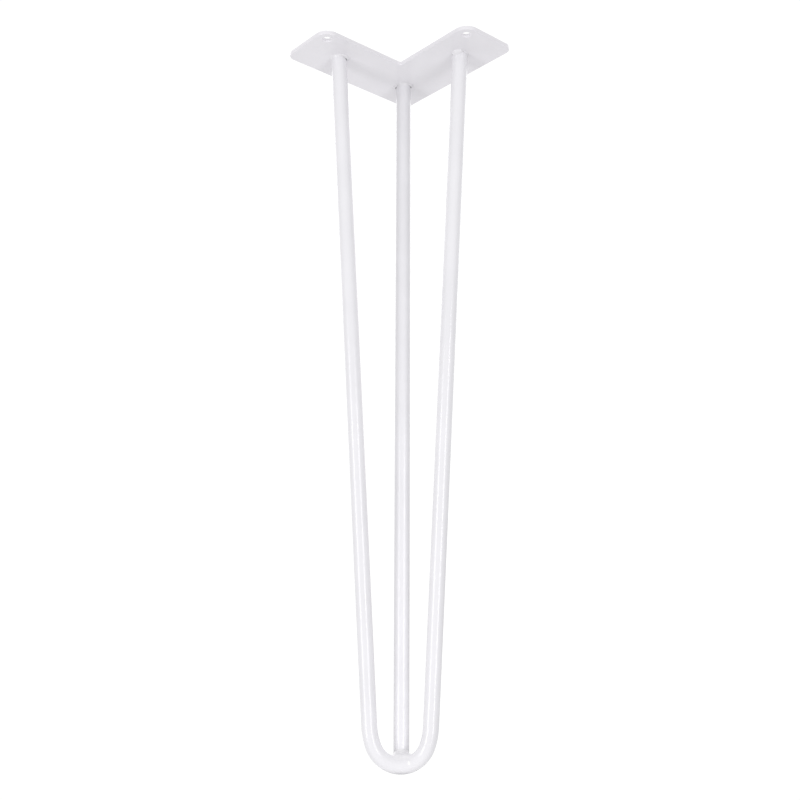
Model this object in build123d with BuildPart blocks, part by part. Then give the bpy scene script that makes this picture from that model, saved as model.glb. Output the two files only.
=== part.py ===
"""Hairpin table leg: a V-shaped mounting plate, one rod bent into a hairpin,
a straight rear rod and the weld beads that join them.

Millimetres, +Z up.  The origin lies on the plate's top face, plumb above the
toe.  The plate's arms open towards -Y, its outer corner points to +Y, and the
leg hangs below the plate.
"""
import math
import os

from build123d import *

# ---------------------------------------------------------------- dimensions
total_height = 457.0        # top face of the plate to the floor
rod_d = 10.0                # round bar of all three legs

plate_t = 2.5               # sheet thickness of the mounting plate
arm_length = 104.1          # outer edge of each arm, measured from the sharp corner
arm_width = 41.8            # width of each arm
tip_outer_r = 5.5           # rounded corners of the arm tips, at the arms' outer edges
tip_inner_r = 9.2           # and at their inner edges
outer_corner_r = 4.0        # rounded corner at the outer end of the V
inner_corner_r = 1.0        # notch corner of the V
under_edge_r = 0.5          # rounded edges of the underside
top_edge_r = 0.3            # rounded edges of the top face

hole_d = 5.5                # screw holes
tip_hole_inset = 7.2        # tip holes, from the arm's end and from its inner edge
corner_hole_inset = 11.7    # corner hole, from both outer edges

corner_y = 9.0              # sharp outer corner of the plate, from the origin
leg_x = 39.7                # hairpin leg axis at the plate's underside
leg_y = -60.7
rear_y = -22.0              # rear rod axis at the plate's underside
bend_r = 18.0               # axis radius of the bend
bend_half_angle = 71.0      # half of the turn made at that radius, degrees
shoulder_r = 45.0           # axis radius where the legs run into the bend
rod_gap = 0.08              # between the bend and the rear rod, bridged by the weld
rear_end_up = 2.0           # end of the rear rod above the lowest point of the bend
rear_end_chamfer = 0.8

bead_r = 8.0                # outer radius of the beads around the rod tops
bead_h = 3.2                # length of the beads along the rods
toe_bead_half_w = 5.8       # half length of the bead in the groove at the toe
toe_bead_r = 4.2            # its radius at mid length
toe_bead_end_r = 3.2        # rounding of its ends
toe_bead_up = 4.0           # its centre line above the bend's axis
toe_bead_root = 2.6         # where the bead starts in the groove, above the axis

# --------------------------------------------------------------- derived data
rod_r = rod_d / 2
under_z = -plate_t
toe_z = -(total_height - rod_r)             # lowest point of the hairpin's axis
s2 = math.sqrt(0.5)


def arm_point(side, along, across):
    """Point of the plate in plan: along an arm and across it, from the sharp corner."""
    return (side * s2 * (along - across), corner_y - s2 * (along + across))


# plane of the hairpin: x to the right, y up along the lean, origin between the rod tops
lean = math.hypot(leg_y, toe_z - under_z)   # length of the hairpin in its plane
up = Vector(0, leg_y, under_z - toe_z).normalized()
hairpin_plane = Plane(origin=(0, leg_y, under_z), x_dir=(1, 0, 0), z_dir=Vector(1, 0, 0).cross(up))

# axis of the hairpin in that plane, all joins tangent
phi = math.radians(bend_half_angle)
join = (bend_r * math.sin(phi), -lean + bend_r - bend_r * math.cos(phi))
shoulder_c = (join[0] - shoulder_r * math.sin(phi), join[1] + shoulder_r * math.cos(phi))
reach = math.hypot(leg_x - shoulder_c[0], -shoulder_c[1])
leg_angle = math.atan2(leg_x - shoulder_c[0], -shoulder_c[1]) - math.asin(shoulder_r / reach)
tangent = (
    shoulder_c[0] + shoulder_r * math.cos(leg_angle),
    shoulder_c[1] - shoulder_r * math.sin(leg_angle),
)
mid_angle = (leg_angle + math.pi / 2 - phi) / 2
shoulder_mid = (
    shoulder_c[0] + shoulder_r * math.cos(mid_angle),
    shoulder_c[1] - shoulder_r * math.sin(mid_angle),
)
over = 6.0                                  # the bar is cut off square with the plate
leg_top = (leg_x + over * math.sin(leg_angle), over * math.cos(leg_angle))


def mirror_x(p):
    return (-p[0], p[1])


# axes of the rods at the plate
right_top = Vector(leg_x, leg_y, under_z)
left_top = Vector(-leg_x, leg_y, under_z)
right_axis = (
    hairpin_plane.from_local_coords(Vector(leg_top[0], leg_top[1], 0)) - right_top
).normalized()
left_axis = Vector(-right_axis.X, right_axis.Y, right_axis.Z)
rear_top = Vector(0, rear_y, under_z)
rear_toe = Vector(0, rod_d + rod_gap, toe_z)
rear_axis = (rear_top - rear_toe).normalized()

# ------------------------------------------------------------- mounting plate
with BuildPart() as mounting_plate:
    with BuildSketch(Plane.XY.offset(under_z)) as outline:
        with BuildLine():
            Polyline(
                arm_point(1, 0, 0),
                arm_point(1, arm_length, 0),
                arm_point(1, arm_length, arm_width),
                arm_point(1, arm_width, arm_width),
                arm_point(-1, arm_length, arm_width),
                arm_point(-1, arm_length, 0),
                close=True,
            )
        make_face()
        corners = outline.vertices()
        fillet(corners.sort_by(Axis.Y)[-1], radius=outer_corner_r)
        notch = outline.vertices().sort_by_distance((0, corner_y - 2 * s2 * arm_width, under_z))[0]
        fillet(notch, radius=inner_corner_r)
        for across, radius in ((0, tip_outer_r), (arm_width, tip_inner_r)):
            tips = [
                outline.vertices().sort_by_distance((*arm_point(side, arm_length, across), under_z))[0]
                for side in (1, -1)
            ]
            fillet(tips, radius=radius)
    extrude(amount=plate_t)
    holes = [
        arm_point(1, arm_length - tip_hole_inset, arm_width - tip_hole_inset),
        arm_point(-1, arm_length - tip_hole_inset, arm_width - tip_hole_inset),
        arm_point(1, corner_hole_inset, corner_hole_inset),
    ]
    with Locations(*[(x, y, 0) for x, y in holes]):
        Hole(radius=hole_d / 2)
    fillet(mounting_plate.faces().sort_by(Axis.Z)[0].edges(), radius=under_edge_r)
    fillet(mounting_plate.faces().sort_by(Axis.Z)[-1].edges(), radius=top_edge_r)

# ---------------------------------------------------------------- hairpin rod
with BuildPart() as hairpin_rod:
    with BuildLine(hairpin_plane) as axis_line:
        Line(mirror_x(leg_top), mirror_x(tangent))
        ThreePointArc(mirror_x(tangent), mirror_x(shoulder_mid), mirror_x(join))
        ThreePointArc(mirror_x(join), (0, -lean), join)
        ThreePointArc(join, shoulder_mid, tangent)
        Line(tangent, leg_top)
    with BuildSketch(Plane(origin=axis_line.line @ 0, z_dir=axis_line.line % 0)):
        Circle(rod_r)
    sweep(path=axis_line.line)
    split(bisect_by=Plane.XY.offset(under_z), keep=Keep.BOTTOM)

# ------------------------------------------------------------------- rear rod
# straight bar from the outer corner down to the back of the bend, cut square below
with BuildPart() as rear_rod:
    low = rear_toe + (rear_toe - rear_top) * ((rod_r - rear_end_up) / (under_z - toe_z))
    high = rear_top + rear_axis * over
    with BuildSketch(Plane(origin=low, z_dir=rear_axis)):
        Circle(rod_r)
    extrude(amount=(high - low).length)
    chamfer(rear_rod.edges().sort_by(Axis.Z)[0], length=rear_end_chamfer)
    split(bisect_by=Plane.XY.offset(under_z), keep=Keep.BOTTOM)


# ---------------------------------------------------- beads around the rod tops
def bead_profile(top, axis):
    """Half section of a bead, in a plane through the rod's axis."""
    side = Vector(0, 1, 0).cross(axis).normalized()
    return Plane(origin=top, x_dir=side, z_dir=side.cross(axis))


with BuildPart() as weld_left:
    with BuildSketch(bead_profile(left_top, left_axis)):
        with BuildLine():
            Line((0, 3.0), (bead_r, 3.0))
            Line((bead_r, 3.0), (bead_r, -0.35))
            ThreePointArc((bead_r, -0.35), (bead_r - 0.95, -1.75), (rod_r + 0.45, -bead_h))
            Line((rod_r + 0.45, -bead_h), (0, -bead_h))
            Line((0, -bead_h), (0, 3.0))
        make_face()
    revolve(axis=Axis(left_top, left_axis), revolution_arc=360)
    with Locations(Plane(origin=left_top, z_dir=left_axis)):
        Cylinder(radius=rod_r, height=40, mode=Mode.SUBTRACT)
    split(bisect_by=Plane.XY.offset(under_z), keep=Keep.BOTTOM)

with BuildPart() as weld_right:
    with BuildSketch(bead_profile(right_top, right_axis)):
        with BuildLine():
            Line((0, 3.0), (bead_r, 3.0))
            Line((bead_r, 3.0), (bead_r, -0.35))
            ThreePointArc((bead_r, -0.35), (bead_r - 0.95, -1.75), (rod_r + 0.45, -bead_h))
            Line((rod_r + 0.45, -bead_h), (0, -bead_h))
            Line((0, -bead_h), (0, 3.0))
        make_face()
    revolve(axis=Axis(right_top, right_axis), revolution_arc=360)
    with Locations(Plane(origin=right_top, z_dir=right_axis)):
        Cylinder(radius=rod_r, height=40, mode=Mode.SUBTRACT)
    split(bisect_by=Plane.XY.offset(under_z), keep=Keep.BOTTOM)

with BuildPart() as weld_rear:
    with BuildSketch(bead_profile(rear_top, rear_axis)):
        with BuildLine():
            Line((0, 3.0), (bead_r, 3.0))
            Line((bead_r, 3.0), (bead_r, -0.35))
            ThreePointArc((bead_r, -0.35), (bead_r - 0.95, -1.75), (rod_r + 0.45, -bead_h))
            Line((rod_r + 0.45, -bead_h), (0, -bead_h))
            Line((0, -bead_h), (0, 3.0))
        make_face()
    revolve(axis=Axis(rear_top, rear_axis), revolution_arc=360)
    with Locations(Plane(origin=rear_top, z_dir=rear_axis)):
        Cylinder(radius=rod_r, height=40, mode=Mode.SUBTRACT)
    split(bisect_by=Plane.XY.offset(under_z), keep=Keep.BOTTOM)

# ---------------------------------------------------------- bead at the toe
# fills the groove above the line where the bend meets the rear rod
with BuildPart() as toe_weld:
    with Locations(Location((0, rod_r, toe_z + toe_bead_up), (0, 90, 0))):
        Cylinder(radius=toe_bead_r, height=2 * toe_bead_half_w)
    fillet(toe_weld.edges().filter_by(GeomType.CIRCLE), radius=toe_bead_end_r)
    split(bisect_by=Plane.XY.offset(toe_z + toe_bead_root), keep=Keep.TOP)
    add(hairpin_rod.part, mode=Mode.SUBTRACT)
    add(rear_rod.part, mode=Mode.SUBTRACT)

# --------------------------------------------------------------------- export
os.makedirs("parts", exist_ok=True)

mounting_plate.part.label = "mounting_plate"
hairpin_rod.part.label = "hairpin_rod"
rear_rod.part.label = "rear_rod"
weld_left.part.label = "weld_left"
weld_right.part.label = "weld_right"
weld_rear.part.label = "weld_rear"
toe_weld.part.label = "toe_weld"

export_step(mounting_plate.part, "parts/mounting_plate.step")
export_step(hairpin_rod.part, "parts/hairpin_rod.step")
export_step(rear_rod.part, "parts/rear_rod.step")
export_step(weld_left.part, "parts/weld_left.step")
export_step(weld_right.part, "parts/weld_right.step")
export_step(weld_rear.part, "parts/weld_rear.step")
export_step(toe_weld.part, "parts/toe_weld.step")

for name, built in (
    ("mounting_plate", mounting_plate),
    ("hairpin_rod", hairpin_rod),
    ("rear_rod", rear_rod),
    ("weld_left", weld_left),
    ("weld_right", weld_right),
    ("weld_rear", weld_rear),
    ("toe_weld", toe_weld),
):
    box = built.part.bounding_box()
    print(
        name,
        "solids", len(built.part.solids()),
        "volume %.1f" % built.part.volume,
        "x %.2f..%.2f y %.2f..%.2f z %.2f..%.2f"
        % (box.min.X, box.max.X, box.min.Y, box.max.Y, box.min.Z, box.max.Z),
    )
length = sum(e.length for e in axis_line.edges())
print(
    "leg angle %.3f deg, hairpin axis %.1f, section times length %.0f"
    % (math.degrees(leg_angle), length, math.pi * rod_r**2 * (length - 2 * over))
)
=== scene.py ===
"""Hairpin table leg: finished shapes, powder coat, studio and camera.

Metres in the file's frame, +Z up; the tables below are in millimetres.
"""
import math

import bmesh
import bpy
from mathutils import Matrix, Vector, noise


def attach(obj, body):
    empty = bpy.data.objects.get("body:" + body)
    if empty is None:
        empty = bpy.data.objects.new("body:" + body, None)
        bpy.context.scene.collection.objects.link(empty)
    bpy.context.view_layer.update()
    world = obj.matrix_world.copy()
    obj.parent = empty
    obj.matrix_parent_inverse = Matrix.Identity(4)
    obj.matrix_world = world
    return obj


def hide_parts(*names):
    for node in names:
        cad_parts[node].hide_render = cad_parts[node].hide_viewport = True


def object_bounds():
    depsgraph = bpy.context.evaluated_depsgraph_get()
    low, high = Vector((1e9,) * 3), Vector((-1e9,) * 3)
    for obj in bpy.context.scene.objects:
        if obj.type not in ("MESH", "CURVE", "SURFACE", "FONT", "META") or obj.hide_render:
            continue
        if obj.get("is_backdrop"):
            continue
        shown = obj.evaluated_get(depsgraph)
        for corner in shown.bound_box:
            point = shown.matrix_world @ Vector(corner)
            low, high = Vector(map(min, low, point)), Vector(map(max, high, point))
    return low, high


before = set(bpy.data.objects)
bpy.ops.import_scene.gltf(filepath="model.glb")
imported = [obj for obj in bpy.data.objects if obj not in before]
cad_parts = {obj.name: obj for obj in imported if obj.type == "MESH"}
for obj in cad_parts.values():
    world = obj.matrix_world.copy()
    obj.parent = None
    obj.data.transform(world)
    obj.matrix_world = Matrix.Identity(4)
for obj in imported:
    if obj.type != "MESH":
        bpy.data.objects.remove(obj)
cad_lo, cad_hi = (tuple(v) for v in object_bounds())

MM = 0.001
TAU = 2 * math.pi

# ------------------------------------------------------------- sizes, as in CAD
PLATE_T = 2.5
ARM_LENGTH = 104.1
ARM_WIDTH = 41.8
TIP_OUTER_R = 5.5
TIP_INNER_R = 9.2
OUTER_CORNER_R = 4.0
INNER_CORNER_R = 1.0
UNDER_EDGE_R = 0.5
TOP_EDGE_R = 0.3
HOLE_R = 2.75
TIP_HOLE_INSET = 7.2
CORNER_HOLE_INSET = 11.7
CORNER_Y = 9.0

ROD_R = 5.0
UNDER_Z = -PLATE_T
TOE_Z = -452.0
LEG_X = 39.7
LEG_Y = -60.7
BEND_R = 18.0
BEND_HALF = math.radians(71.0)
SHOULDER_R = 45.0
REAR_Y = -22.0
REAR_TOE_Y = 10.08
REAR_END_Z = -455.0

END_R = 1.2                 # softened end edges of the bars
SEGMENTS = 72               # around a bar

S2 = math.sqrt(0.5)


# -------------------------------------------------------------------- materials
def powder_coat(name, peel, grain, tone_scale, low, high, corners=0.72):
    """White powder coat: orange peel, fine grain, faint clouding, uneven gloss, and shade painted into its corners
    and creases;
    corners is how much of its colour the coat keeps where that painted shade is deepest."""
    mat = bpy.data.materials.new(name)
    mat.use_nodes = True
    tree = mat.node_tree
    nodes, link = tree.nodes, tree.links.new
    shader = nodes["Principled BSDF"]
    shader.inputs["IOR"].default_value = 1.5
    shader.inputs["Specular IOR Level"].default_value = 0.5

    coords = nodes.new("ShaderNodeTexCoord")

    def cloud(scale, detail, rough):
        tex = nodes.new("ShaderNodeTexNoise")
        tex.inputs["Scale"].default_value = scale
        tex.inputs["Detail"].default_value = detail
        tex.inputs["Roughness"].default_value = rough
        link(coords.outputs["Object"], tex.inputs["Vector"])
        return tex

    # colour: slow clouding of the coat, with shade painted in, greyer where the AO node finds corners and creases
    tone = cloud(tone_scale, 3.0, 0.55)
    ramp = nodes.new("ShaderNodeValToRGB")
    ramp.color_ramp.elements[0].position = 0.30
    ramp.color_ramp.elements[0].color = (*low, 1)
    ramp.color_ramp.elements[1].position = 0.72
    ramp.color_ramp.elements[1].color = (*high, 1)
    link(tone.outputs["Fac"], ramp.inputs["Fac"])
    corner = nodes.new("ShaderNodeAmbientOcclusion")
    corner.samples = 8
    corner.inputs["Distance"].default_value = 0.0022
    painted_corner_shade = nodes.new("ShaderNodeMapRange")
    painted_corner_shade.inputs["From Min"].default_value = 0.15
    painted_corner_shade.inputs["From Max"].default_value = 0.65
    painted_corner_shade.inputs["To Min"].default_value = corners
    painted_corner_shade.inputs["To Max"].default_value = 1.0
    link(corner.outputs["AO"], painted_corner_shade.inputs["Value"])
    shade = nodes.new("ShaderNodeVectorMath")
    shade.operation = "SCALE"
    link(ramp.outputs["Color"], shade.inputs[0])
    link(painted_corner_shade.outputs["Result"], shade.inputs["Scale"])
    link(shade.outputs["Vector"], shader.inputs["Base Color"])

    # gloss: semi-gloss, slightly uneven
    gloss = cloud(tone_scale * 2.3, 4.0, 0.6)
    level = nodes.new("ShaderNodeMapRange")
    level.inputs["From Min"].default_value = 0.3
    level.inputs["From Max"].default_value = 0.7
    level.inputs["To Min"].default_value = 0.13
    level.inputs["To Max"].default_value = 0.20
    link(gloss.outputs["Fac"], level.inputs["Value"])
    link(level.outputs["Result"], shader.inputs["Roughness"])

    # relief: orange peel about 1.6 mm across, powder grain below it
    waves = cloud(640.0, 2.0, 0.45)
    fine = cloud(4200.0, 2.0, 0.5)
    low = nodes.new("ShaderNodeBump")
    low.inputs["Strength"].default_value = peel
    low.inputs["Distance"].default_value = 0.00006
    link(waves.outputs["Fac"], low.inputs["Height"])
    high = nodes.new("ShaderNodeBump")
    high.inputs["Strength"].default_value = grain
    high.inputs["Distance"].default_value = 0.000012
    link(fine.outputs["Fac"], high.inputs["Height"])
    link(low.outputs["Normal"], high.inputs["Normal"])
    link(high.outputs["Normal"], shader.inputs["Normal"])
    return mat


# painted shade in corners and creases takes the colour down to 0.72 on the sheet, welds and bores, and barely
# shows on the bars, toe and lumps
COAT_SHEET = powder_coat("powder_coat_sheet", 0.55, 0.5, 24.0, (0.827, 0.811, 0.849), (0.867, 0.850, 0.890))
COAT_BAR = powder_coat("powder_coat_bar", 0.50, 0.5, 34.0, (0.826, 0.818, 0.849), (0.866, 0.857, 0.889), 0.98)
COAT_WELD = powder_coat("powder_coat_weld", 0.80, 0.7, 120.0, (0.820, 0.808, 0.838), (0.860, 0.848, 0.880))
# thick and even over the toe's weld
# over the toe's weld: a touch lighter than the bars, with next to no painted shade in its corners
COAT_TOE = powder_coat("powder_coat_toe", 0.60, 0.6, 90.0, (0.832, 0.824, 0.846), (0.872, 0.862, 0.886), 0.99)
# powder spatter on the toe, painted whiter than the coat around it as a painted highlight
COAT_LUMP_GLINT = powder_coat("powder_coat_lump_glint", 0.60, 0.6, 90.0, (0.935, 0.93, 0.94), (0.965, 0.96, 0.97), 0.95)
# the coat inside the screw holes has a coarser relief, and is painted a touch darker as painted shade on the hole
# walls
COAT_BORE_SHADED = powder_coat("powder_coat_bore_shaded", 0.80, 0.9, 200.0, (0.80, 0.785, 0.82), (0.85, 0.835, 0.87))


# ------------------------------------------------------------------ mesh helpers
def inside(p):
    """A point in millimetres, in metres and no further out than the CAD box."""
    return tuple(min(max(c * MM, lo), hi) for c, lo, hi in zip(p, cad_lo, cad_hi))


def piece(name, node, material, verts, faces, flat=(), other=None, others=(), fold=None):
    """A finished piece that stands for a CAD node and rides with it; edges that turn by
    more than fold stay sharp."""
    mesh = bpy.data.meshes.new(name)
    mesh.from_pydata([inside(v) for v in verts], [], faces)
    mesh.validate()
    bm = bmesh.new()
    bm.from_mesh(mesh)
    bmesh.ops.recalc_face_normals(bm, faces=bm.faces)
    bm.to_mesh(mesh)
    bm.free()
    flat = set(flat)
    for poly in mesh.polygons:
        poly.use_smooth = poly.index not in flat
    if fold:
        mesh.set_sharp_from_angle(angle=fold)
    mesh.materials.append(material)
    if other:
        mesh.materials.append(other)
        for index in others:
            mesh.polygons[index].material_index = 1
    obj = bpy.data.objects.new(name, mesh)
    bpy.context.scene.collection.objects.link(obj)
    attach(obj, "root")
    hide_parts(node)
    return obj


def skin(rings, closed=False):
    """Quads between rings of equal length; closed joins the last ring to the first."""
    verts = [v for ring in rings for v in ring]
    count = len(rings[0])
    faces = []
    for k in range(len(rings) if closed else len(rings) - 1):
        a, b = k * count, ((k + 1) % len(rings)) * count
        for i in range(count):
            j = (i + 1) % count
            faces.append((a + i, a + j, b + j, b + i))
    return verts, faces


def cap(verts, faces, first, count, centre):
    """Close a ring of vertices with a fan."""
    verts.append(centre)
    top = len(verts) - 1
    for i in range(count):
        faces.append((first + i, first + (i + 1) % count, top))


# ---------------------------------------------------------------- mounting plate
def arm_point(side, along, across):
    return Vector((side * S2 * (along - across), CORNER_Y - S2 * (along + across)))


def rounded(corners):
    """Points of an outline, counter-clockwise, each with its outward normal."""
    out = []
    for i, (p, r) in enumerate(corners):
        before = (p - corners[i - 1][0]).normalized()
        after = (corners[(i + 1) % len(corners)][0] - p).normalized()
        turn = math.atan2(before.x * after.y - before.y * after.x, before.dot(after))
        side = 1 if turn > 0 else -1
        start = p - before * (r * math.tan(abs(turn) / 2))
        centre = start + Vector((-before.y, before.x)) * (r * side)
        steps = max(6, math.ceil(r * abs(turn) / 0.4))
        for k in range(steps + 1):
            angle = math.atan2(before.y, before.x) - math.pi / 2 + turn * k / steps
            normal = Vector((math.cos(angle), math.sin(angle)))
            out.append((centre + normal * (r * side), normal))
    return out


def edge_profile():
    """Rounded edge of the sheet, from the underside up: inset and height."""
    rows = []
    for k in range(8):
        a = math.pi / 2 * k / 7
        rows.append((UNDER_EDGE_R * (1 - math.sin(a)), UNDER_Z + UNDER_EDGE_R * (1 - math.cos(a))))
    for k in range(6):
        a = math.pi / 2 * k / 5
        rows.append((TOP_EDGE_R * (1 - math.cos(a)), -TOP_EDGE_R * (1 - math.sin(a))))
    return rows


def build_plate():
    outline = rounded([
        (arm_point(1, 0, 0), OUTER_CORNER_R),
        (arm_point(-1, ARM_LENGTH, 0), TIP_OUTER_R),
        (arm_point(-1, ARM_LENGTH, ARM_WIDTH), TIP_INNER_R),
        (arm_point(1, ARM_WIDTH, ARM_WIDTH), INNER_CORNER_R),
        (arm_point(1, ARM_LENGTH, ARM_WIDTH), TIP_INNER_R),
        (arm_point(1, ARM_LENGTH, 0), TIP_OUTER_R),
    ])
    loops = [outline]
    for centre in (
        arm_point(-1, ARM_LENGTH - TIP_HOLE_INSET, ARM_WIDTH - TIP_HOLE_INSET),
        arm_point(1, ARM_LENGTH - TIP_HOLE_INSET, ARM_WIDTH - TIP_HOLE_INSET),
        arm_point(1, CORNER_HOLE_INSET, CORNER_HOLE_INSET),
    ):
        ring = []
        for k in range(56):
            out = Vector((math.cos(TAU * k / 56), -math.sin(TAU * k / 56)))
            ring.append((centre + out * HOLE_R, -out))
        loops.append(ring)

    verts, faces, flat, bores = [], [], [], []
    rows = edge_profile()
    rims = {0: [], len(rows) - 1: []}
    for loop in loops:
        first, count = len(verts), len(loop)
        for inset, z in rows:
            verts += [(*(p - n * inset), z) for p, n in loop]
        for k in range(len(rows) - 1):
            a, b = first + k * count, first + (k + 1) * count
            for i in range(count):
                j = (i + 1) % count
                if loop is not outline and k >= 6:
                    bores.append(len(faces))
                faces.append((a + i, a + j, b + j, b + i))
        for k in rims:
            rims[k].append([first + k * count + i for i in range(count)])
    for k, face_z in ((0, -1), (len(rows) - 1, 1)):
        bm = bmesh.new()
        made = {}
        edges = []
        for rim in rims[k]:
            ring = [bm.verts.new(verts[i]) for i in rim]
            for v, i in zip(ring, rim):
                made[v] = i
            edges += [bm.edges.new((ring[i - 1], ring[i])) for i in range(len(ring))]
        bmesh.ops.triangle_fill(bm, use_beauty=True, edges=edges, normal=(0, 0, face_z))
        for face in bm.faces:
            flat.append(len(faces))
            faces.append(tuple(made[v] for v in face.verts))
        bm.free()
    return piece("plate_sheet", "mounting_plate", COAT_SHEET, verts, faces, flat, COAT_BORE_SHADED, bores)


# ----------------------------------------------------------------------- the bars
UP = Vector((0, LEG_Y, UNDER_Z - TOE_Z)).normalized()
FRONT = Vector((1, 0, 0)).cross(UP)
LEAN = math.hypot(LEG_Y, UNDER_Z - TOE_Z)
HAIRPIN_O = Vector((0, LEG_Y, UNDER_Z))

JOIN = (BEND_R * math.sin(BEND_HALF), -LEAN + BEND_R - BEND_R * math.cos(BEND_HALF))
SHOULDER_C = (
    JOIN[0] - SHOULDER_R * math.sin(BEND_HALF),
    JOIN[1] + SHOULDER_R * math.cos(BEND_HALF),
)
REACH = math.hypot(LEG_X - SHOULDER_C[0], -SHOULDER_C[1])
LEG_ANGLE = math.atan2(LEG_X - SHOULDER_C[0], -SHOULDER_C[1]) - math.asin(SHOULDER_R / REACH)


def in_plane(x, v):
    return HAIRPIN_O + Vector((x, 0, 0)) + UP * v


def leg_axis(side):
    """Direction of a hairpin leg at the plate, pointing up."""
    return Vector((side * math.sin(LEG_ANGLE), 0, 0)) + UP * math.cos(LEG_ANGLE)


def half_axis():
    """Axis of the right half of the hairpin, from the toe to 14 mm below the plate: x, v
    and the angle through which the bar has turned since the toe."""
    rows = []
    for k in range(49):
        a = BEND_HALF * k / 48
        rows.append((BEND_R * math.sin(a), -LEAN + BEND_R - BEND_R * math.cos(a), a))
    stop = math.pi / 2 - LEG_ANGLE
    for k in range(1, 25):
        a = BEND_HALF + (stop - BEND_HALF) * k / 24
        rows.append((
            SHOULDER_C[0] + SHOULDER_R * math.sin(a),
            SHOULDER_C[1] - SHOULDER_R * math.cos(a),
            a,
        ))
    x0, v0, _ = rows[-1]
    length = math.hypot(LEG_X - x0, -v0)
    for k in range(1, 71):
        t = (1 - 14.0 / length) * k / 70
        rows.append((x0 + (LEG_X - x0) * t, v0 - v0 * t, stop))
    return rows


def end_rows():
    """Softened end edge of a bar: distance from the end and radius."""
    rows = [(12.0, ROD_R), (8.0, ROD_R), (5.0, ROD_R), (3.0, ROD_R), (1.8, ROD_R)]
    for k in range(7):
        a = math.pi / 2 * k / 6
        rows.append((END_R * (1 - math.sin(a)), ROD_R - END_R * (1 - math.cos(a))))
    return rows


def seated_ring(top, axis, u, w, back, radius):
    """Ring near the end of a bar whose end lies flat against the plate's underside."""
    ring = []
    blend = max(0.0, 1 - back / 12.0)
    for i in range(SEGMENTS):
        a = TAU * i / SEGMENTS
        out = (u * math.cos(a) + w * math.sin(a)) * radius
        ring.append(tuple(top + out - axis * (back + blend * out.z / axis.z)))
    return ring


def plain_ring(centre, u, w, radius):
    return [
        tuple(centre + (u * math.cos(TAU * i / SEGMENTS) + w * math.sin(TAU * i / SEGMENTS)) * radius)
        for i in range(SEGMENTS)
    ]


def build_hairpin():
    half = half_axis()
    run = [(-x, v, -a) for x, v, a in half[:0:-1]] + half
    rings = [
        plain_ring(in_plane(x, v), Vector((math.sin(a), 0, 0)) - UP * math.cos(a), FRONT, ROD_R)
        for x, v, a in run
    ]
    for side in (-1, 1):
        top, axis = in_plane(side * LEG_X, 0), leg_axis(side)
        outward = Vector((side * math.cos(LEG_ANGLE), 0, 0)) - UP * math.sin(LEG_ANGLE)
        ends = [seated_ring(top, axis, outward, FRONT, back, r) for back, r in end_rows()]
        rings = ends[::-1] + rings if side < 0 else rings + ends
    verts, faces = skin(rings)
    count = len(verts)
    cap(verts, faces, 0, SEGMENTS, tuple(in_plane(-LEG_X, 0)))
    cap(verts, faces, count - SEGMENTS, SEGMENTS, tuple(in_plane(LEG_X, 0)))
    return piece("hairpin_bar", "hairpin_rod", COAT_BAR, verts, faces)


REAR_TOP = Vector((0, REAR_Y, UNDER_Z))
REAR_AXIS = (REAR_TOP - Vector((0, REAR_TOE_Y, TOE_Z))).normalized()


def build_rear():
    u = Vector((1, 0, 0))
    w = REAR_AXIS.cross(u)
    low = REAR_TOP + REAR_AXIS * ((REAR_END_Z - UNDER_Z) / REAR_AXIS.z)
    length = (REAR_TOP - low).length
    rings = [seated_ring(REAR_TOP, REAR_AXIS, u, w, back, r) for back, r in end_rows()][::-1]
    for k in range(1, 61):
        back = 14.0 + (length - 17.0) * k / 60
        rings.append(plain_ring(REAR_TOP - REAR_AXIS * back, u, w, ROD_R))
    for back, r in end_rows()[4:]:
        rings.append(plain_ring(low + REAR_AXIS * back, u, w, r))
    verts, faces = skin(rings)
    count = len(verts)
    cap(verts, faces, 0, SEGMENTS, tuple(REAR_TOP))
    cap(verts, faces, count - SEGMENTS, SEGMENTS, tuple(low))
    return piece("rear_bar", "rear_rod", COAT_BAR, verts, faces)


# --------------------------------------------------------------------- weld beads
def bump(angle, centre, half):
    """1 at centre, 0 from half on, smooth between; degrees."""
    d = abs((angle - centre + 180) % 360 - 180) / half
    return 0.0 if d >= 1 else 0.5 + 0.5 * math.cos(math.pi * d)


def window(angle, start, stop, soft):
    """1 between two angles, 0 outside, with soft ends; degrees."""
    into = min((angle - start) % 360, (stop - angle) % 360)
    if (angle - start) % 360 > (stop - start) % 360:
        return 0.0
    t = min(1.0, into / soft)
    return t * t * (3 - 2 * t)


def scallop(x):
    """Row of overlapping puddles: round crests, soft valleys, -1 to 1."""
    return 2 * (0.5 + 0.5 * math.cos(x)) ** 0.55 - 1.15


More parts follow.
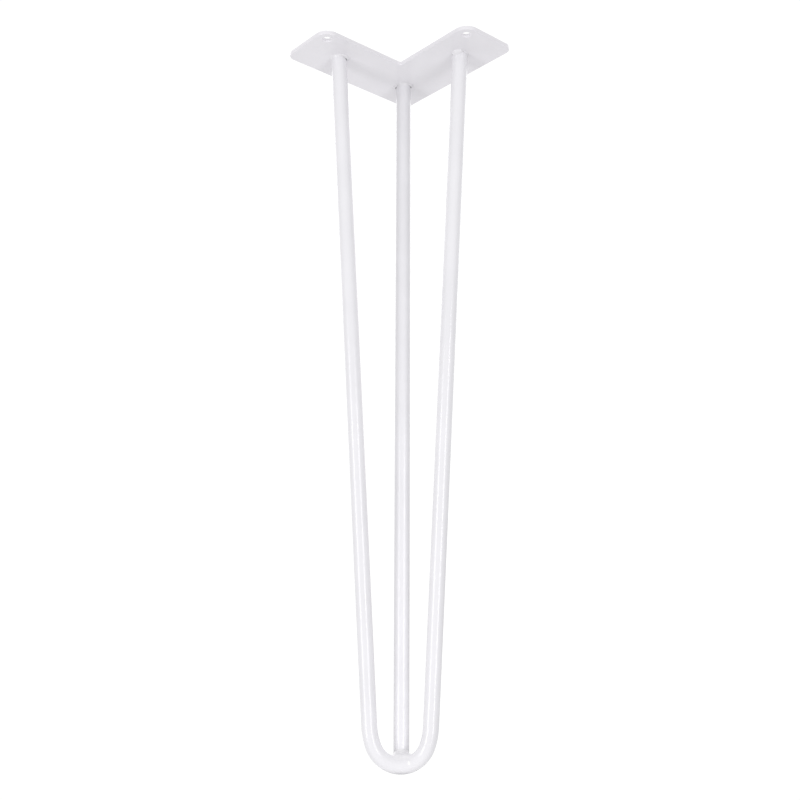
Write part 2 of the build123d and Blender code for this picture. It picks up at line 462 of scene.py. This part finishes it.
def build_bead(name, node, top, axis, reach, rise, gap, hollow, seed, ripples):
    """Bead around a bar's top.  By angle in degrees from +X, reach is how far it runs out
    on the plate, rise how far along the bar, gap, 0 to 1, how deep a crevice is left
    between the bead and the bar, and hollow, 0 to 1, how far its face is hollow."""
    around, across = 360, 30
    rings = []
    for i in range(around):
        deg = 360.0 * i / around
        a = math.radians(deg)
        out = Vector((math.cos(a), math.sin(a), 0))
        wob = noise.noise(Vector((2.1 * out.x, 2.1 * out.y, seed)))
        wob2 = noise.noise(Vector((6.0 * out.x, 6.0 * out.y, seed + 7.3)))
        run = min(max(reach(deg) * (1 + 0.10 * wob + 0.06 * wob2), 0.10), 2.9)
        climb = min(max(rise(deg) * (1 + 0.10 * wob2 - 0.06 * wob), 0.10), 3.1)
        crack = gap(deg)
        crack_w = 0.55 + 0.25 * crack
        dip = hollow(deg)

        def at(rad, dep):
            return tuple(top - axis * (dep / axis.z) + out * (ROD_R + rad))

        ring = []
        for k in range(across + 1):
            t = k / across
            q = t * math.pi / 2
            # from a hollow fillet to one between flat and full
            rad = run * (0.66 * math.cos(q) + 0.34 * (1 - t))
            dep = climb * (0.66 * math.sin(q) + 0.34 * t)
            rad += dip * (run * (1 - math.sin(q)) - rad)
            dep += dip * (climb * (1 - math.cos(q)) - dep)
            rows = scallop(ripples * a + 1.5 * math.sin(math.pi * t) + 0.8 * wob)
            lift = 0.07 * rows * math.sin(math.pi * t) * min(1.0, run / 1.6) * (1 - 0.7 * dip)
            rad += lift * math.cos(q)
            dep += lift * math.sin(q)
            # the bead turns down again before it reaches the bar
            fall = min(1.0, max(0.0, 1 - rad / crack_w))
            dep *= 1 - 0.97 * crack * fall * fall * (3 - 2 * fall)
            ring.append(at(rad, dep))
        # the back of the bead lies inside the bar and its foot inside the sheet
        ring += [at(-END_R, 0.9 * climb), at(-END_R - 0.4, 0.5 * climb), at(-END_R - 0.4, -0.12)]
        ring.append(at(run - 0.05, -0.12))
        rings.append(ring)
    verts, faces = skin(rings, closed=True)
    return piece(name, node, COAT_WELD, verts, faces)


def build_top_beads():
    # left leg: hollow in front, with a lump on the right that hasn't run into the bar
    build_bead(
        "bead_left", "weld_left", in_plane(-LEG_X, 0), leg_axis(-1),
        lambda d: 0.45 + window(d, 160, 296, 30) * 0.75
        + window(d, 272, 40, 22) * (0.85 + 0.75 * bump(d, 350, 45))
        + window(d, 45, 150, 25) * 0.7,
        lambda d: 0.55 + window(d, 160, 296, 30) * 0.95
        + window(d, 272, 40, 22) * (0.4 + 0.7 * bump(d, 352, 40))
        + window(d, 45, 150, 25) * 0.7,
        lambda d: window(d, 276, 34, 50) * (0.32 + 0.68 * bump(d, 355, 34)),
        lambda d: window(d, 160, 296, 30),
        3.7, 15,
    )
    # right leg: a short full bead on its front left, thin around the rest
    build_bead(
        "bead_right", "weld_right", in_plane(LEG_X, 0), leg_axis(1),
        lambda d: 0.50 + window(d, 190, 298, 22) * (0.85 + 0.8 * bump(d, 246, 50))
        + window(d, 30, 165, 25) * 0.7,
        lambda d: 0.60 + window(d, 190, 298, 22) * (0.7 + 1.1 * bump(d, 246, 50))
        + window(d, 30, 165, 25) * 0.7,
        lambda d: 0.9 * bump(d, 194, 20) + 0.55 * bump(d, 300, 18),
        lambda d: 0.08,
        11.9, 16,
    )
    # rear bar: a hollow bead in front, a lump and a crevice at either side
    build_bead(
        "bead_rear", "weld_rear", REAR_TOP, REAR_AXIS,
        lambda d: 0.50 + window(d, 214, 324, 24) * 0.8
        + 1.45 * bump(d, 178, 34) + 1.6 * bump(d, 352, 36) + window(d, 45, 135, 20) * 0.8,
        lambda d: 0.60 + window(d, 214, 324, 24) * 0.9
        + 0.8 * bump(d, 178, 34) + 0.9 * bump(d, 352, 36) + window(d, 45, 135, 20) * 0.8,
        lambda d: bump(d, 179, 24) + bump(d, 354, 26),
        lambda d: window(d, 208, 330, 24),
        23.1, 15,
    )


TOE_C = in_plane(0, BEND_R - LEAN)


def past_bend(p):
    """Distance of a point from the surface of the bend."""
    d = p - TOE_C
    return math.hypot(math.hypot(d.x, d.dot(UP)) - BEND_R, d.dot(FRONT)) - ROD_R


def past_rear(p):
    """Distance of a point from the surface of the rear bar."""
    d = p - REAR_TOP
    return (d - REAR_AXIS * d.dot(REAR_AXIS)).length - ROD_R


def on_bend(turn, lift, out):
    """Point on the bend: degrees along it from the toe, degrees from its front towards its
    inner side, and millimetres above its surface."""
    a, t = math.radians(turn), math.radians(lift)
    ring = BEND_R - (ROD_R + out) * math.sin(t)
    return in_plane(ring * math.sin(a), BEND_R - LEAN - ring * math.cos(a)) + FRONT * ((ROD_R + out) * math.cos(t))


def droplet(verts, faces, turn, lift, along, across, height, seed):
    """Spatter under the coat: a low rounded bump on the bend, closed inside the metal."""
    around, across_rows, first = 48, 14, len(verts)
    for k in range(1, across_rows + 1):
        r = 1.12 * k / across_rows
        for i in range(around):
            a = TAU * i / around
            wide = 1 + 0.22 * noise.noise(Vector((1.3 * math.cos(a), 1.3 * math.sin(a), seed)))
            d_turn = math.degrees(along * wide * r * math.cos(a) / BEND_R)
            d_lift = math.degrees(across * wide * r * math.sin(a) / ROD_R)
            verts.append(tuple(on_bend(turn + d_turn, lift + d_lift, height * (1 - r * r))))
    for k in range(across_rows - 1):
        a, b = first + k * around, first + (k + 1) * around
        for i in range(around):
            j = (i + 1) % around
            faces.append((a + i, a + j, b + j, b + i))
    cap(verts, faces, first, around, tuple(on_bend(turn, lift, height)))
    cap(verts, faces, first + (across_rows - 1) * around, around, tuple(on_bend(turn, lift, -0.5)))


def build_toe_bead():
    """Bead laid over the bend's inner side and the foot of the rear bar: its flanks run out
    on both bars, and its ends follow the bend up.  Some spatter lies about it."""
    left, right, fat = -2.5, 4.6, 3.3
    columns, around, limit = 140, 200, 7.5

    def spine(x, y=3.4, up=3.6):
        arc = BEND_R - math.sqrt(BEND_R ** 2 - x * x)
        return Vector((x, y, TOE_Z + up + 0.9 * arc))

    def joined(a, b, soft):
        """The nearer of two distances, run together over a soft zone."""
        h = max(soft - abs(a - b), 0.0) / soft
        return min(a, b) - h * h * soft / 4

    def past_bead(p):
        wob = noise.noise(p * 0.55 + Vector((3.1, 7.7, 1.9)))
        ripple = scallop(TAU * p.x / 2.4 + 0.5 * p.z + 0.9 * wob)
        x = min(max(p.x, left), right)
        low = (p - spine(x, 2.2, 3.5)).length - fat
        high = (p - spine(x, 4.6, 3.6)).length - 2.7
        bead = joined(low, high, 2.0) - 0.12 * wob - 0.03 * ripple
        return min(joined(past_bend(p), bead, 2.6), joined(past_rear(p), bead, 3.8)) + 0.05

    rings = []
    for k in range(columns + 1):
        # finer steps towards the ends
        x = (left + right) / 2 - ((right - left) / 2 + fat + 0.6) * math.cos(math.pi * k / columns)
        start = spine(x)
        tip = min(1.0, k / 3, (columns - k) / 3)
        ring = []
        for i in range(around):
            a = TAU * i / around
            way = Vector((0, math.cos(a), math.sin(a)))
            # out from the middle to where the metal ends, or to where a bar hides the bead
            far = 0.02
            for _ in range(80):
                p = start + way * far
                gap = past_bead(p)
                if gap > -0.001 or far >= limit or past_rear(p) < -0.15 or past_bend(p) < -1.1:
                    break
                far = min(limit, far - 0.9 * gap)
            ring.append(tuple(start + way * max(0.02, far * tip)))
        rings.append(ring)
    verts, faces = skin(rings)
    count = len(verts)
    for first in (0, count - around):
        ring = verts[first:first + around]
        cap(verts, faces, first, around, tuple(sum(p[c] for p in ring) / around for c in range(3)))
    plain = len(faces)
    # the first two spatter bumps get the whiter coat, a painted highlight
    droplet(verts, faces, 21.6, 26.0, 0.85, 1.30, 0.14, 2.3)
    droplet(verts, faces, -63.5, 24.0, 0.60, 0.60, 0.10, 5.9)
    glint_lumps = range(plain, len(faces))
    droplet(verts, faces, 80.0, -12.0, 0.45, 1.70, 0.10, 8.1)
    return piece("bead_toe", "toe_weld", COAT_TOE, verts, faces, other=COAT_LUMP_GLINT, others=glint_lumps, fold=0.8)


build_plate()
build_hairpin()
build_rear()
build_top_beads()
build_toe_bead()


# ------------------------------------------------------------------------- studio
FLOOR_Z = -0.4571
PATCH_R = 0.0145
PATCH_Z = FLOOR_Z - 0.0025


def build_floor():
    """Plain white floor that sweeps up, without a line, into the studio's wall."""
    rows = [(r, FLOOR_Z) for r in (0.4, 1.2, 3.0)]
    for k in range(1, 17):
        a = math.pi / 2 * k / 16
        rows.append((3.0 + 2.0 * math.sin(a), FLOOR_Z + 2.0 * (1 - math.cos(a))))
    for k in range(1, 16):
        a = math.pi / 2 * k / 16
        rows.append((5.0 * math.cos(a), FLOOR_Z + 2.0 + 3.0 * math.sin(a)))
    rings = [
        [(r * math.cos(TAU * i / 96), r * math.sin(TAU * i / 96), z) for i in range(96)]
        for r, z in rows
    ]
    verts, faces = skin(rings)
    count = len(verts)
    cap(verts, faces, 0, 96, (0, 0, FLOOR_Z))
    cap(verts, faces, count - 96, 96, (0, 0, FLOOR_Z + 5.0))
    mesh = bpy.data.meshes.new("studio_floor")
    mesh.from_pydata(verts, [], faces)
    bm = bmesh.new()
    bm.from_mesh(mesh)
    bmesh.ops.recalc_face_normals(bm, faces=bm.faces)
    bmesh.ops.reverse_faces(bm, faces=bm.faces)
    bm.to_mesh(mesh)
    bm.free()
    mesh.shade_smooth()

    mat = bpy.data.materials.new("studio_paper")
    mat.use_nodes = True
    nodes, link = mat.node_tree.nodes, mat.node_tree.links.new
    shader = nodes["Principled BSDF"]
    # lit from behind to an even white, no brighter, so the leg's outline isn't eaten by glare
    shader.inputs["Base Color"].default_value = (0.0, 0.0, 0.0, 1)
    shader.inputs["Roughness"].default_value = 0.9
    shader.inputs["Specular IOR Level"].default_value = 0.0
    shader.inputs["Emission Color"].default_value = (1, 1, 1, 1)
    shader.inputs["Emission Strength"].default_value = 1.05
    # only the studio's inside shows, so the leg can also be seen from below the floor
    side = nodes.new("ShaderNodeNewGeometry")
    clear = nodes.new("ShaderNodeBsdfTransparent")
    mix = nodes.new("ShaderNodeMixShader")
    link(side.outputs["Backfacing"], mix.inputs["Fac"])
    link(shader.outputs["BSDF"], mix.inputs[1])
    link(clear.outputs["BSDF"], mix.inputs[2])
    link(mix.outputs["Shader"], nodes["Material Output"].inputs["Surface"])
    mat.cycles.emission_sampling = "NONE"
    mesh.materials.append(mat)
    obj = bpy.data.objects.new("studio_floor", mesh)
    bpy.context.scene.collection.objects.link(obj)
    # a backdrop for the eye alone: the lamps and the sky light the leg through it
    obj.visible_diffuse = False
    obj.visible_glossy = False
    obj.visible_transmission = False
    obj.visible_shadow = False
    obj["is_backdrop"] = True


def build_patch():
    """The bit of floor that the toe stands on, as the leg sees it: it throws light up and
    goes dark where the toe meets it."""
    mesh = bpy.data.meshes.new("floor_patch")
    ring = [(PATCH_R * math.cos(TAU * i / 64), PATCH_R * math.sin(TAU * i / 64), PATCH_Z) for i in range(64)]
    mesh.from_pydata(ring, [], [tuple(range(64))])
    mat = bpy.data.materials.new("floor_paper")
    mat.use_nodes = True
    shader = mat.node_tree.nodes["Principled BSDF"]
    shader.inputs["Base Color"].default_value = (0.80, 0.80, 0.80, 1)
    shader.inputs["Roughness"].default_value = 0.9
    shader.inputs["Specular IOR Level"].default_value = 0.0
    mesh.materials.append(mat)
    obj = bpy.data.objects.new("floor_patch", mesh)
    bpy.context.scene.collection.objects.link(obj)
    obj.visible_camera = False
    obj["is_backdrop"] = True


def softbox(name, azimuth, distance, width, low, high, radiance):
    """Upright panel that faces the leg; azimuth in degrees from -Y towards +X."""
    lamp = bpy.data.lights.new(name, "AREA")
    lamp.shape = "RECTANGLE"
    lamp.size = width
    lamp.size_y = high - low
    lamp.energy = radiance * math.pi * lamp.size * lamp.size_y
    a = math.radians(azimuth)
    out = Vector((math.sin(a), -math.cos(a), 0))
    obj = bpy.data.objects.new(name, lamp)
    obj.location = out * distance + Vector((0, 0, (low + high) / 2))
    obj.rotation_euler = (-out).to_track_quat("-Z", "Y").to_euler()
    obj.visible_camera = False
    bpy.context.scene.collection.objects.link(obj)


SKY = {
    "level": 0.355,
    "up": 0.46,
    "down": 0.20,
    "front": 0.31,
    "left": 0.06,
    "left_back": 0.75,
    "upper_back": 1.50,
    "lower_back": 0.60,
}


def build_world():
    """Soft light from the studio's walls, floor and ceiling, by direction in the file's
    frame; the wall behind is dimmest at the horizon."""
    world = bpy.data.worlds.new("studio")
    bpy.context.scene.world = world
    world.use_nodes = True
    nodes, link = world.node_tree.nodes, world.node_tree.links.new
    coords = nodes.new("ShaderNodeTexCoord")

    def parts(sign):
        """The positive parts of the direction, or of its opposite, along X, Y and Z."""
        turned = nodes.new("ShaderNodeVectorMath")
        turned.operation = "SCALE"
        turned.inputs["Scale"].default_value = sign
        link(coords.outputs["Generated"], turned.inputs[0])
        kept = nodes.new("ShaderNodeVectorMath")
        kept.operation = "MAXIMUM"
        kept.inputs[1].default_value = (0, 0, 0)
        link(turned.outputs["Vector"], kept.inputs[0])
        split = nodes.new("ShaderNodeSeparateXYZ")
        link(kept.outputs["Vector"], split.inputs[0])
        return split.outputs

    def math_node(operation, a, b):
        node = nodes.new("ShaderNodeMath")
        node.operation = operation
        for socket, value in zip(node.inputs, (a, b)):
            if isinstance(value, (int, float)):
                socket.default_value = value
            else:
                link(value, socket)
        return node.outputs["Value"]

    def mul(a, b):
        return math_node("MULTIPLY", a, b)

    def add(first, *rest):
        for term in rest:
            first = math_node("ADD", first, term)
        return first

    _, back, up = parts(1)
    left, front, down = parts(-1)
    upper = math_node("MINIMUM", mul(up, 2.0), 1.0)
    lower = math_node("MINIMUM", mul(down, 2.0), 1.0)
    total = add(
        mul(up, SKY["up"]),
        mul(down, SKY["down"]),
        mul(front, SKY["front"]),
        mul(left, SKY["left"]),
        mul(mul(left, back), SKY["left_back"]),
        mul(mul(upper, back), SKY["upper_back"]),
        mul(mul(lower, back), SKY["lower_back"]),
        SKY["level"],
    )
    shade = nodes["Background"]
    shade.inputs["Color"].default_value = (1, 1, 1, 1)
    link(total, shade.inputs["Strength"])


def build_camera():
    yaw, pitch, roll = -0.07771857, 0.20118901, -0.00915420
    ahead = Vector((math.sin(yaw) * math.cos(pitch), math.cos(yaw) * math.cos(pitch), math.sin(pitch)))
    right = Vector((math.cos(yaw), -math.sin(yaw), 0))
    down = ahead.cross(right)
    c, s = math.cos(roll), math.sin(roll)
    right, down = right * c + down * s, down * c - right * s
    data = bpy.data.cameras.new("camera")
    data.sensor_width = 36.0
    data.lens = 1011.44887 / 800 * 36.0
    data.clip_start = 0.01
    obj = bpy.data.objects.new("camera", data)
    turn = Matrix((right, -down, -ahead)).transposed().to_4x4()
    obj.matrix_world = Matrix.Translation((0.04940534, -0.66173652, -0.35441216)) @ turn
    bpy.context.scene.collection.objects.link(obj)
    bpy.context.scene.camera = obj


build_floor()
build_patch()
build_world()
softbox("softbox_left", -44, 1.6, 0.50, -1.25, -0.18, 4.25)
softbox("softbox_right", 38, 1.6, 0.50, -1.25, -0.18, 4.3)
build_camera()

view = bpy.context.scene.view_settings
view.view_transform = "Standard"
view.look = "None"
